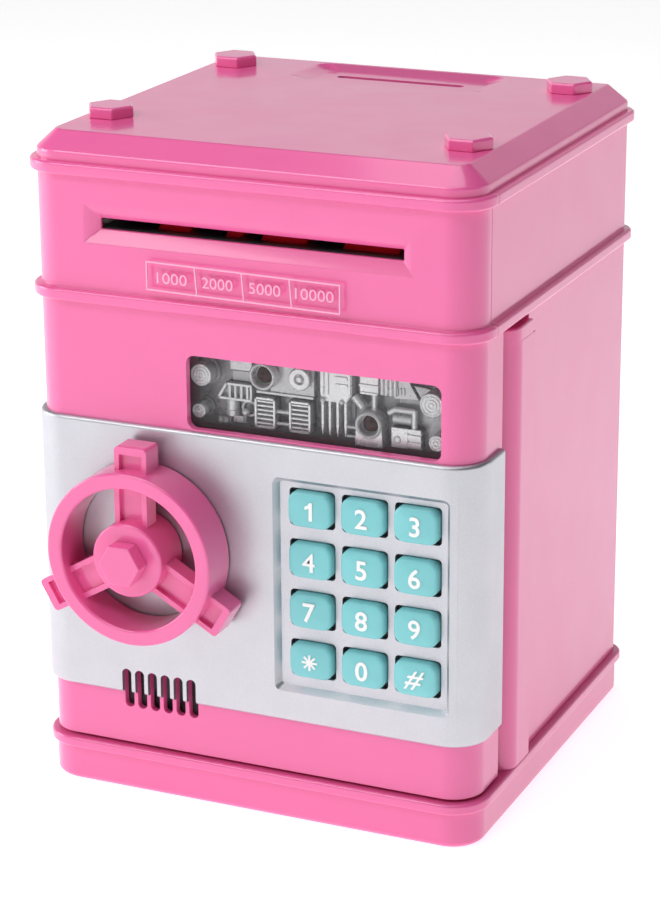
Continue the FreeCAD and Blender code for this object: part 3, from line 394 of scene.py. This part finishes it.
def raised_block(bm, left, right, low, high, amount):
    block(bm, left, right, low, high, height(amount), RELIEF_PLATE + 0.1)


def lozenge(bm, left, right, z, wide, amount):
    """A raised bar with round ends along X."""
    middle_x = (left + right) / 2
    outline = rounded_rectangle(right - left, wide, wide * 0.49, 5)
    raised(bm, [(middle_x + x, z + up) for x, up in outline], amount)


def ringed_disc(bm, x, z, radius, amount, rings=3):
    """A round post with rings moulded on its face."""
    front = height(amount)
    foot = radius + 0.6
    profile = [(foot, RELIEF_PLATE + 0.1), (foot, height(0.7)), (radius, height(0.7)),
               (radius, front + 0.25), (radius - 0.2, front)]
    step = (radius - 0.5) / rings
    for i in range(rings):
        edge = radius - 0.5 - step * i
        groove = front + 0.35
        profile += [(edge, front), (edge - 0.12, groove), (edge - 0.38, groove), (edge - 0.5, front)]
    turned(bm, (x, z), profile)


def led_collar(bm, x, z, outer, inner):
    """A deep round collar with a well for its lamp."""
    front = RELIEF_FRONT
    profile = [(outer + 0.2, RELIEF_PLATE + 0.1), (outer, front + 0.5), (outer - 0.45, front),
               (inner + 0.35, front), (inner, front + 0.4), (inner, front + 3.0)]
    turned(bm, (x, z), profile, 56)


def louvres(bm, left, right, low, high, count):
    """A framed box with slats across it."""
    raised_block(bm, left, right, low, high, 1.6)
    edge = 0.65
    raised_block(bm, left, left + edge, low, high, 4.0)
    raised_block(bm, right - edge, right, low, high, 4.0)
    raised_block(bm, left, right, high - edge, high, 4.0)
    raised_block(bm, left, right, low, low + edge, 4.0)
    pitch = (high - low - 2 * edge) / count
    for i in range(count):
        z = low + edge + pitch * (i + 0.5)
        raised_block(bm, left, right, z - 0.27, z + 0.27, 3.5)


def left_relief(bm):
    """Two ringed posts, a ladder bracket, a small motor and a ball lever."""
    ringed_disc(bm, 3.0, 15.2, 3.2, 5.4)
    ringed_disc(bm, 2.2, 4.9, 2.1, 5.4, 2)
    raised_block(bm, 10.8, 17.3, 17.0, 22.6, 2.6)
    raised_block(bm, 10.8, 17.3, 13.6, 16.4, 1.2)
    raised(bm, ((6.6, 8.5), (17.3, 8.5), (17.3, 13.2), (9.6, 13.2)), 1.4)
    raised(bm, ((6.6, 8.4), (17.3, 8.4), (17.3, 9.1), (7.0, 9.1)), 3.2)
    raised(bm, ((9.2, 12.6), (17.3, 12.6), (17.3, 13.3), (9.6, 13.3)), 3.2)
    raised(bm, ((6.6, 8.4), (7.5, 8.4), (10.2, 13.3), (9.5, 13.3)), 3.2)
    for u in (10.6, 12.3, 14.1, 15.9, 17.0):
        raised_block(bm, u - 0.35, u + 0.35, 8.5, 13.2, 3.0)
    cylinder_y = RELIEF_PLATE - 1.0
    bar(bm, (10.8, cylinder_y, 3.6), (10.8, cylinder_y, 8.3), 2.0, 32)
    bar(bm, (10.8, cylinder_y, 5.0), (10.8, cylinder_y, 5.4), 2.2, 32)
    raised_block(bm, 11.4, 14.4, 2.0, 3.9, 2.4)
    raised_block(bm, 6.6, 10.4, 1.2, 2.9, 2.0)
    for u in (7.5, 9.3):
        ball(bm, (u, height(2.2), 2.0), 0.8)
    turned(bm, (15.9, 6.1), ((2.4, RELIEF_PLATE + 0.1), (2.4, height(1.6)), (1.7, height(1.6)),
                             (1.7, height(0.4))), 32)
    ball(bm, (15.3, height(2.6), 5.3), 1.1)
    bar(bm, (15.1, height(2.4), 5.0), (14.9, height(2.0), 2.0), 0.4)


def middle_relief(bm):
    """The first lamp's collar, two louvred boxes and a round boss."""
    led_collar(bm, RING_ONE.x - RELIEF_LOW.x, RING_ONE.z - RELIEF_LOW.z, 3.95, 2.9)
    louvres(bm, 18.5, 24.7, 1.8, 10.5, 6)
    louvres(bm, 28.8, 35.2, 1.7, 10.6, 6)
    for v in (6.7, 3.3):
        bar(bm, (24.5, height(2.6), v), (29.0, height(2.6), v), 0.55)
    raised_block(bm, 22.5, 35.5, 11.2, 22.8, 2.0)
    raised_block(bm, 18.5, 35.5, 11.2, 11.9, 2.6)
    turned(bm, (31.9, 16.9), ((3.2, RELIEF_PLATE + 0.1), (3.2, height(3.6)), (2.9, height(4.0)),
                              (1.6, height(4.0)), (1.4, height(3.8)), (1.4, height(2.8))), 40)
    turned(bm, (31.9, 16.9), ((0.95, height(2.0)), (0.95, height(3.9)), (0.7, height(4.2))), 24)


def slotted_relief(bm):
    """A tall slotted plate with four prongs below it."""
    plate = ((38.3, 22.8), (38.3, 13.4), (38.9, 11.9), (45.7, 11.8), (47.4, 14.2), (47.4, 22.8))
    raised(bm, plate, 4.0)
    raised_block(bm, 38.4, 39.4, 13.8, 22.8, 4.5)
    raised_block(bm, 39.8, 40.7, 13.8, 22.8, 4.5)
    raised(bm, ((41.1, 22.8), (41.1, 12.0), (45.6, 12.0), (47.2, 14.3), (47.2, 22.8)), 4.5)
    for v in (18.9, 16.8):
        lozenge(bm, 42.6, 46.6, v, 1.1, 4.9)
    for u in (39.1, 44.8):
        ball(bm, (u, height(4.5), 12.3), 0.75)
    raised_block(bm, 38.3, 47.0, 1.6, 12.0, 0.6)
    for u in (38.7, 40.8, 43.1, 45.4):
        raised(bm, ((u - 0.35, 12.2), (u - 0.35, 4.6), (u - 0.1, 2.2), (u + 0.1, 2.2), (u + 0.35, 4.6),
                    (u + 0.35, 12.2)), 3.7)
    for v in (5.1, 2.5):
        bar(bm, (45.6, height(3.0), v), (49.2, height(3.0), v), 0.45)


def right_relief(bm):
    """The second lamp's collar on its foot, pipes, a valve block and two ringed posts."""
    ring_u, ring_v = RING_TWO.x - RELIEF_LOW.x, RING_TWO.z - RELIEF_LOW.z
    led_collar(bm, ring_u, ring_v, 3.85, 2.85)
    arch = []
    for i in range(13):
        angle = math.pi + math.pi * i / 12
        arch.append((ring_u + 3.4 * math.cos(angle), ring_v + 3.4 * math.sin(angle)))
    raised(bm, [(ring_u + 4.0, 0.7), (ring_u + 3.7, ring_v)] + arch[::-1] + [(ring_u - 3.7, ring_v),
                                                                         (ring_u - 4.0, 0.7)], 4.7)
    for side in (-1, 1):
        ball(bm, (ring_u + 3.0 * side, height(4.6), 1.3), 0.55)
    raised_block(bm, 49.7, 55.0, 15.5, 22.8, 3.8)
    raised_block(bm, 49.5, 55.2, 17.4, 18.0, 4.2)
    raised_block(bm, 49.9, 54.8, 15.2, 15.8, 4.2)
    for i in range(4):
        bar(bm, (55.7 + 1.25 * i, height(2.6), 15.2), (55.7 + 1.25 * i, height(2.6), 22.8), 0.62)
    bar(bm, (53.4, height(2.4), 15.4), (53.4, height(2.4), 10.5), 0.8)
    bar(bm, (47.6, height(2.6), 13.9), (50.2, height(2.6), 10.9), 1.15)
    raised(bm, ((59.0, 22.8), (59.0, 14.4), (66.0, 14.8), (63.7, 18.6), (62.6, 22.8)), 2.2)
    for i in range(3):
        lozenge_u = 59.8 + 0.95 * i
        raised_block(bm, lozenge_u, lozenge_u + 0.45, 15.6, 17.6, 2.7)
    raised_block(bm, 60.0, 76.0, 0.8, 14.3, 0.8)
    pipe = ((57.7, 10.4), (59.6, 11.6), (65.1, 11.6), (65.1, 6.8))
    for start, end in zip(pipe, pipe[1:]):
        bar(bm, (start[0], height(2.8), start[1]), (end[0], height(2.8), end[1]), 0.85)
        ball(bm, (end[0], height(2.8), end[1]), 0.85)
    bar(bm, (58.6, height(0.9), 8.6), (64.0, height(0.9), 8.6), 1.7, 32)
    raised_block(bm, 58.9, 67.4, 1.4, 6.9, 3.5)
    raised_block(bm, 58.9, 63.6, 1.4, 6.9, 4.0)
    for low, high in ((1.9, 3.3), (3.9, 5.3), (5.9, 6.9)):
        raised_block(bm, 63.6, 67.4, low, high, 4.0)
    turned(bm, (60.6, 3.6), ((1.1, height(3.5)), (1.1, height(4.2)), (0.8, height(4.35)),
                             (0.75, height(4.2))), 24)
    raised(bm, ((64.4, 18.4), (69.4, 18.0), (66.6, 14.9)), 1.6)
    ringed_disc(bm, 70.9, 14.8, 3.4, 5.4)
    ringed_disc(bm, 72.4, 4.4, 2.3, 5.4, 2)


def add_relief():
    """The whole moulding as one piece, on its plate."""
    bm = bmesh.new()
    left_relief(bm)
    middle_relief(bm)
    slotted_relief(bm)
    right_relief(bm)
    bmesh.ops.translate(bm, vec=(RELIEF_LOW.x, 0, RELIEF_LOW.z), verts=bm.verts)
    block(bm, RELIEF_LOW.x, RELIEF_HIGH.x, RELIEF_LOW.z, RELIEF_HIGH.z, RELIEF_PLATE, RELIEF_HIGH.y)
    make_piece("gear_relief_detail", bm, MATERIALS["plated_silver"], "door",
               ("gear_relief",), 0.09, 35)


# ---------------------------------------------------------------- keys and numbers
def lettering(name, text, size, place, depth, material, body, weight=0.0, tilt=0.0, width=None):
    """Raised characters facing the front, their middle at place, stretched to width if one is given."""
    curve = bpy.data.curves.new(name, "FONT")
    curve.body = text
    curve.size = size * MM
    curve.offset = weight * MM
    curve.extrude = depth * MM / 2
    curve.align_x = "CENTER"
    curve.shear = tilt
    curve.resolution_u = 6
    source = bpy.data.objects.new(name, curve)
    bpy.context.scene.collection.objects.link(source)
    bpy.context.view_layer.update()
    mesh = bpy.data.meshes.new_from_object(source.evaluated_get(bpy.context.evaluated_depsgraph_get()))
    bpy.data.objects.remove(source)
    mesh.name = name
    ups = [v.co.y for v in mesh.vertices]
    sides = [v.co.x for v in mesh.vertices]
    lift = Matrix.Translation((-(min(sides) + max(sides)) / 2, -(min(ups) + max(ups)) / 2, 0))
    stretch = width * MM / (max(sides) - min(sides)) if width else 1.0
    stand = Matrix.Rotation(math.pi / 2, 4, "X") @ Matrix.Scale(stretch, 4, (1, 0, 0))
    mesh.transform(Matrix.Translation(Vector(place) * MM) @ stand @ lift)
    piece = bpy.data.objects.new(name, mesh)
    bpy.context.scene.collection.objects.link(piece)
    mesh.materials.clear()
    mesh.materials.append(material)
    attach(piece, body)
    return piece


FLANGE_MARGIN = (0.9, 1.05)
FLANGE_THICK = 0.9
FLANGE_CORNER = 0.8
CAP_CORNER = 3.0
CAP_ROUND = 1.1
CAP_CROWN = 0.4
FIGURE_ONE = ((0.2, -2.6), (1.2, -2.6), (1.2, 2.6), (0.4, 2.6), (-0.1, 1.85), (-1.0, 1.4),
              (-1.0, 0.55), (0.2, 1.0))
MARK_DEPTH = 0.5
MARK_PLACE = 0.07                # middle of a figure's depth, behind the cap's highest point


def star_outline(reach, arm_width, arms=8):
    """A star of straight arms with square ends, as (x, z) points about the origin."""
    points = []
    step = 2 * math.pi / arms
    notch = arm_width / 2 / math.sin(step / 2)
    for i in range(arms):
        along = Vector((math.cos(step * i), math.sin(step * i)))
        across = Vector((-along.y, along.x)) * arm_width / 2
        points += [tuple(along * reach - across), tuple(along * reach + across)]
        between = step * (i + 0.5)
        points.append((notch * math.cos(between), notch * math.sin(between)))
    return points


def key_mark(node, mark, x, front, z):
    """The raised white figure on a key."""
    name = node + "_mark"
    drawn = {"1": FIGURE_ONE, "star": star_outline(2.3, 0.58)}
    if mark in drawn:
        bm = bmesh.new()
        prism(bm, [(x + a, z + b) for a, b in drawn[mark]], front - MARK_DEPTH / 2, front + MARK_DEPTH / 2)
        make_piece(name, bm, MATERIALS["digit_white"], node)
        return
    text, tilt = ("#", 0.4) if mark == "hash" else (mark, 0.0)
    weight = 0.08 if mark in ("4", "9", "hash") else 0.12
    lettering(name, text, 7.6, (x, front, z), MARK_DEPTH, MATERIALS["digit_white"], node,
              weight, tilt)


def cap_levels(width, height, front, back):
    """A key cap as (width, height, corner radius, y) of its cross sections, from back to front."""
    straight = front + CAP_ROUND + CAP_CROWN
    levels = [(width, height, CAP_CORNER, back), (width, height, CAP_CORNER, straight)]
    for i in range(1, 6):
        angle = math.pi / 2 * i / 5
        inset = CAP_ROUND * (1 - math.cos(angle))
        levels.append((width - 2 * inset, height - 2 * inset, CAP_CORNER - inset,
                       straight - CAP_ROUND * math.sin(angle)))
    rim_width, rim_height = levels[-1][:2]
    rim = straight - CAP_ROUND
    for share in (0.82, 0.6, 0.36, 0.14):
        levels.append((rim_width * share, rim_height * share, 1.5 * share,
                       rim - CAP_CROWN * (1 - share * share)))
    return levels


def key_cap(node):
    """A pillow-topped key cap on a dark rubber flange, whose darkness paints the shade in the gap round
    the cap.
    """
    low, high = box_mm(node)
    x, z = (low.x + high.x) / 2, (low.z + high.z) / 2
    flange_width, flange_height = high.x - low.x, high.z - low.z
    flange_front = high.y - FLANGE_THICK
    cap_width = flange_width - 2 * FLANGE_MARGIN[0]
    cap_height = flange_height - 2 * FLANGE_MARGIN[1]
    cap = bmesh.new()
    rings = []
    for width, height, corner, y in cap_levels(cap_width, cap_height, low.y, flange_front):
        outline = rounded_rectangle(width, height, corner, 6)
        rings.append([cap.verts.new((x + a, y, z + b)) for a, b in outline])
    count = len(rings[0])
    for first, second in zip(rings, rings[1:]):
        for i in range(count):
            j = (i + 1) % count
            cap.faces.new((first[i], first[j], second[j], second[i]))
    cap.faces.new(rings[0])
    cap.faces.new(rings[-1])
    make_piece(node + "_cap", cap, MATERIALS["teal_key"], node, (node,), 0, 50)
    # Painted shade: the flange is dark so that it stands in for the deep shadow in the gap round the cap.
    flange = bmesh.new()
    outline = rounded_rectangle(flange_width, flange_height, FLANGE_CORNER, 4)
    prism(flange, [(x + a, z + b) for a, b in outline], flange_front, high.y)
    make_piece(node + "_flange", flange, MATERIALS["dark_rubber"], node)
    key_mark(node, node.split("_")[1], x, low.y + MARK_PLACE, z)


def add_keys():
    for node in NODES:
        if node.startswith("key_") and node != "key_membrane":
            key_cap(node)


# ---------------------------------------------------------------- the note sizes under the slot
def add_note_sizes():
    """Four framed numbers, moulded as fine raised lines on the fascia."""
    line, proud, sunk = 0.38, 0.16, 0.3
    uprights = ((-28.4, -28.4), (-14.0, -13.4), (-0.1, 0.5), (13.9, 14.5), (28.4, 28.4))
    left, right = uprights[0][0], uprights[-1][0]
    near, far = FASCIA_FRONT - proud, FASCIA_FRONT + sunk
    half = line / 2

    def rail(x, start, end):
        """Height of a slightly sloping rail at x."""
        return start + (end - start) * (x - left) / (right - left)

    bm = bmesh.new()
    top, bottom = (158.6, 157.9), (150.9, 150.1)
    for start, end in (top, bottom):
        prism(bm, ((left - half, start - half), (right + half, end - half), (right + half, end + half),
                   (left - half, start + half)), near, far)
    for high_x, low_x in uprights:
        high = rail(high_x, *top) - half
        low = rail(low_x, *bottom) + half
        prism(bm, ((low_x - half, low), (low_x + half, low), (high_x + half, high), (high_x - half, high)),
              near, far)
    make_piece("note_size_frames", bm, MATERIALS["pale_line"], "case", (), 0.0, 35)
    spans = {"1000": (-25.3, -16.3), "2000": (-11.8, -2.7), "5000": (2.1, 11.3), "10000": (15.6, 26.7)}
    for number, (start, end) in spans.items():
        lettering("note_size_" + number, number, 4.3, ((start + end) / 2, FASCIA_FRONT, 154.45), 2 * proud,
                  MATERIALS["pale_line"], "case", 0.0, 0.0, end - start)


add_relief()
add_keys()
add_note_sizes()


# ---------------------------------------------------------------- camera, light and floor
def add_camera():
    """The camera stands to the right of the front and looks a little down."""
    azimuth, elevation, roll = math.radians(24.05), math.radians(18.29), math.radians(-0.41)
    back = Vector((math.sin(azimuth) * math.cos(elevation), -math.cos(azimuth) * math.cos(elevation),
                   math.sin(elevation)))
    right = Vector((math.cos(azimuth), math.sin(azimuth), 0))
    up = back.cross(right)
    turned_right = math.cos(roll) * right + math.sin(roll) * up
    turned_up = back.cross(turned_right)
    data = bpy.data.cameras.new("camera")
    data.sensor_width = 36.0
    data.lens = 113.97
    data.shift_x = 0.0018
    data.shift_y = -0.0227
    camera = bpy.data.objects.new("camera", data)
    axes = Matrix((turned_right, turned_up, back)).transposed().to_4x4()
    camera.matrix_world = Matrix.Translation((0.31849, -0.72261, 0.35591)) @ axes
    bpy.context.scene.collection.objects.link(camera)
    bpy.context.scene.camera = camera


def add_soft_light(name, place, aim, size, power, colour=(1, 1, 1)):
    data = bpy.data.lights.new(name, "AREA")
    data.shape = "RECTANGLE"
    data.size, data.size_y = size
    data.energy = power
    data.color = colour
    light = bpy.data.objects.new(name, data)
    light.location = place
    light.rotation_euler = (Vector(aim) - Vector(place)).to_track_quat("-Z", "Y").to_euler()
    bpy.context.scene.collection.objects.link(light)


def add_world():
    """A studio with a bright low band at the front left, a softer one behind and a dark ceiling."""
    world = bpy.data.worlds.new("studio")
    bpy.context.scene.world = world
    world.use_nodes = True
    tree = world.node_tree
    background = tree.nodes["Background"]
    background.inputs["Color"].default_value = (1, 1, 1, 1)
    place = tree.nodes.new("ShaderNodeTexCoord")
    split = tree.nodes.new("ShaderNodeSeparateXYZ")
    tree.links.new(place.outputs["Generated"], split.inputs["Vector"])

    def ramp(source, start, end, low, high):
        node = tree.nodes.new("ShaderNodeMapRange")
        for name, value in (("From Min", start), ("From Max", end), ("To Min", low), ("To Max", high)):
            node.inputs[name].default_value = value
        tree.links.new(split.outputs[source], node.inputs["Value"])
        return node.outputs["Result"]

    def combine(operation, first, second):
        node = tree.nodes.new("ShaderNodeMath")
        node.operation = operation
        tree.links.new(first, node.inputs[0])
        tree.links.new(second, node.inputs[1])
        return node.outputs["Value"]

    low_band = ramp("Z", 0.35, 0.6, 1.0, 0.0)
    front_left = combine("MULTIPLY", ramp("Y", 0.3, -0.1, 0.0, 0.4), ramp("X", 0.2, -0.2, 0.0, 1.0))
    behind = combine("MULTIPLY", ramp("Y", 0.1, 0.5, 0.0, 0.72), ramp("X", 0.6, 0.1, 0.0, 1.0))
    both = combine("ADD", front_left, behind)
    horizon = ramp("Z", 0.08, 0.16, 1.0, 0.0)
    sky = combine("MAXIMUM", combine("MULTIPLY", low_band, both), horizon)
    tree.links.new(sky, background.inputs["Strength"])


def add_floor():
    bm = bmesh.new()
    half = 12.0
    corners = ((-half, -half), (half, -half), (half, half), (-half, half))
    bm.faces.new([bm.verts.new((x, y, -0.0001)) for x, y in corners])
    mesh = bpy.data.meshes.new("floor")
    bm.to_mesh(mesh)
    bm.free()
    floor = bpy.data.objects.new("floor", mesh)
    shader = Shader("floor")
    shader.colours(shader.spread(shader.noise(300.0), 0, 1), (0.90, 0.90, 0.90), (0.88, 0.88, 0.88))
    shader.set(Roughness=0.9, Emission_Color=(1, 1, 1, 1), Emission_Strength=0.75)
    mesh.materials.append(shader.material)
    bpy.context.scene.collection.objects.link(floor)


AIM = (0, 0, 0.1)
add_camera()
add_world()
add_floor()
add_soft_light("left_light", (-1.1, -0.3, 0.4), AIM, (0.6, 0.6), 5.0)
add_soft_light("right_back_light", (1.0, 0.6, 0.3), AIM, (0.7, 0.6), 0.9)
add_soft_light("high_left_light", (-0.5, -0.85, 0.95), AIM, (0.5, 0.5), 2.4)
add_soft_light("top_light", (0, 0, 1.1), AIM, (0.7, 0.7), 4.0)
add_soft_light("glint_light", (-0.25, -0.64, 1.0), AIM, (0.9, 0.22), 3.2)
bpy.context.scene.view_settings.view_transform = "Standard"
